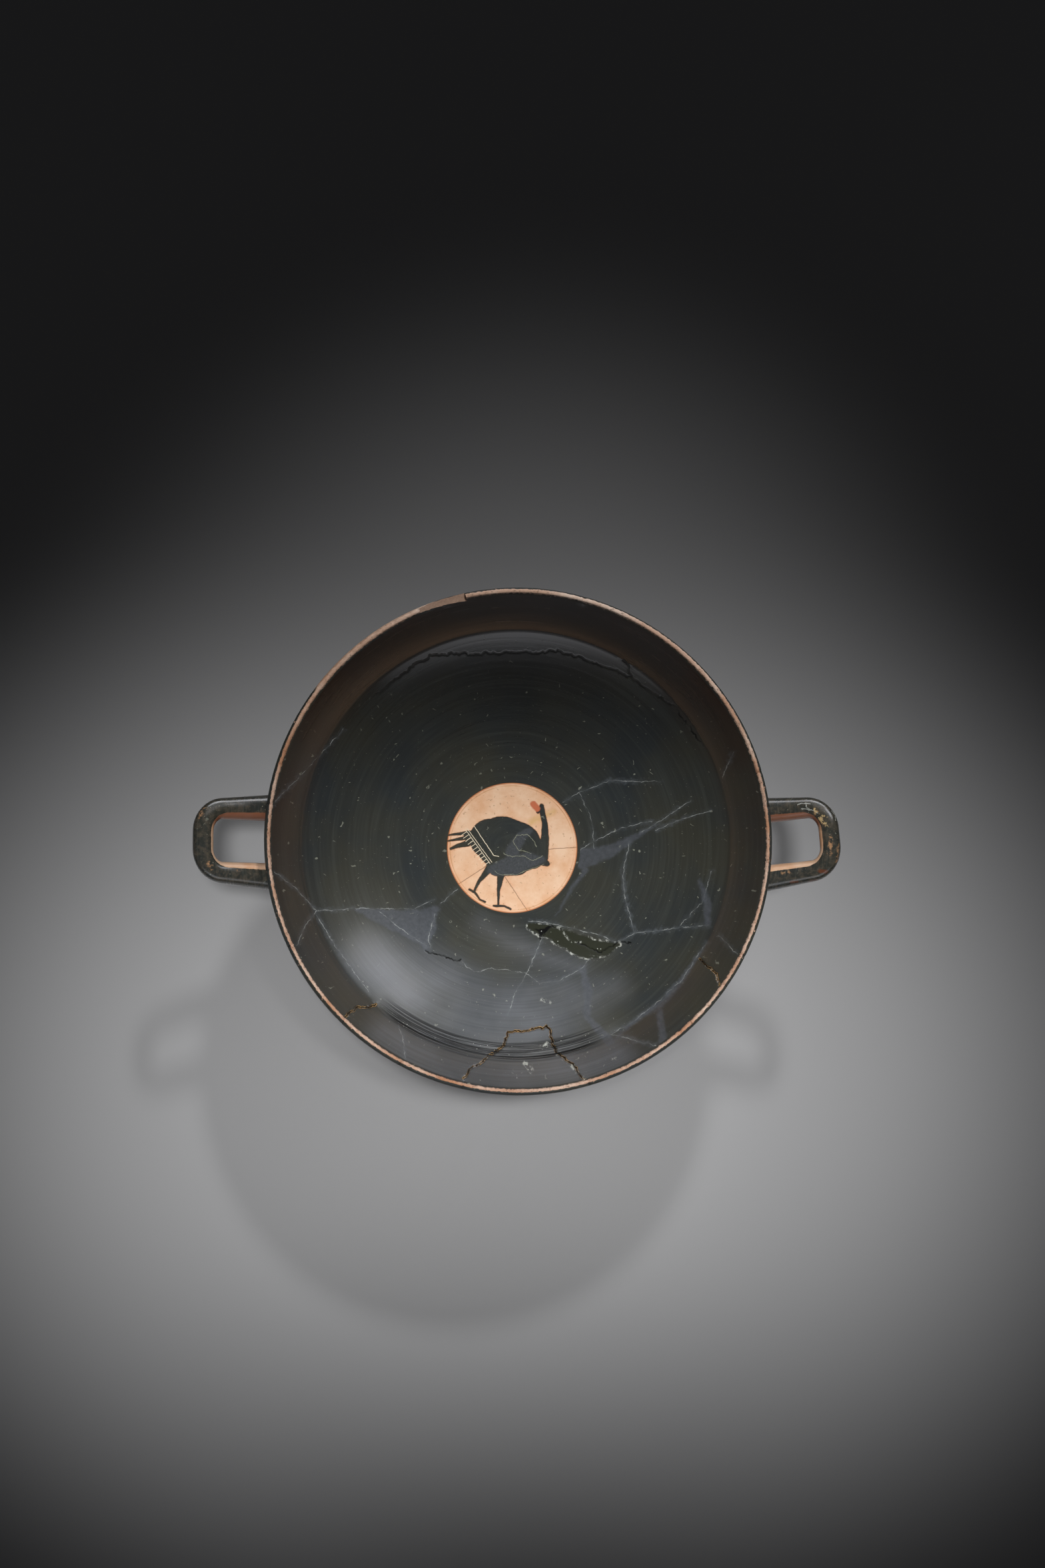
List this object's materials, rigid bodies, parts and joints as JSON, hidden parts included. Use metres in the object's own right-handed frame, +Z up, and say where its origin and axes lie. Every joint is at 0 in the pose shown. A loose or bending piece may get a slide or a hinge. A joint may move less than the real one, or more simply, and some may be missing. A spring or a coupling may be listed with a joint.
{
  "type": "greek kylix cup",
  "caption": "Wide shallow drinking cup of black-slipped clay on a stem and trumpet foot, with a flaring lip, looped side handles and a small painted medallion inside.",
  "frame": {"origin": "middle of the foot's underside, where the cup rests", "axes": "+Z up along the cup's axis, X through the two handles, Y across them"},
  "size_m": [0.2943, 0.23, 0.13],
  "materials": {
    "black_slip": "soft sheen, worn and mended"
  },
  "bodies": {
    "root": {"kylix": "black_slip"}
  },
  "joints": []
}
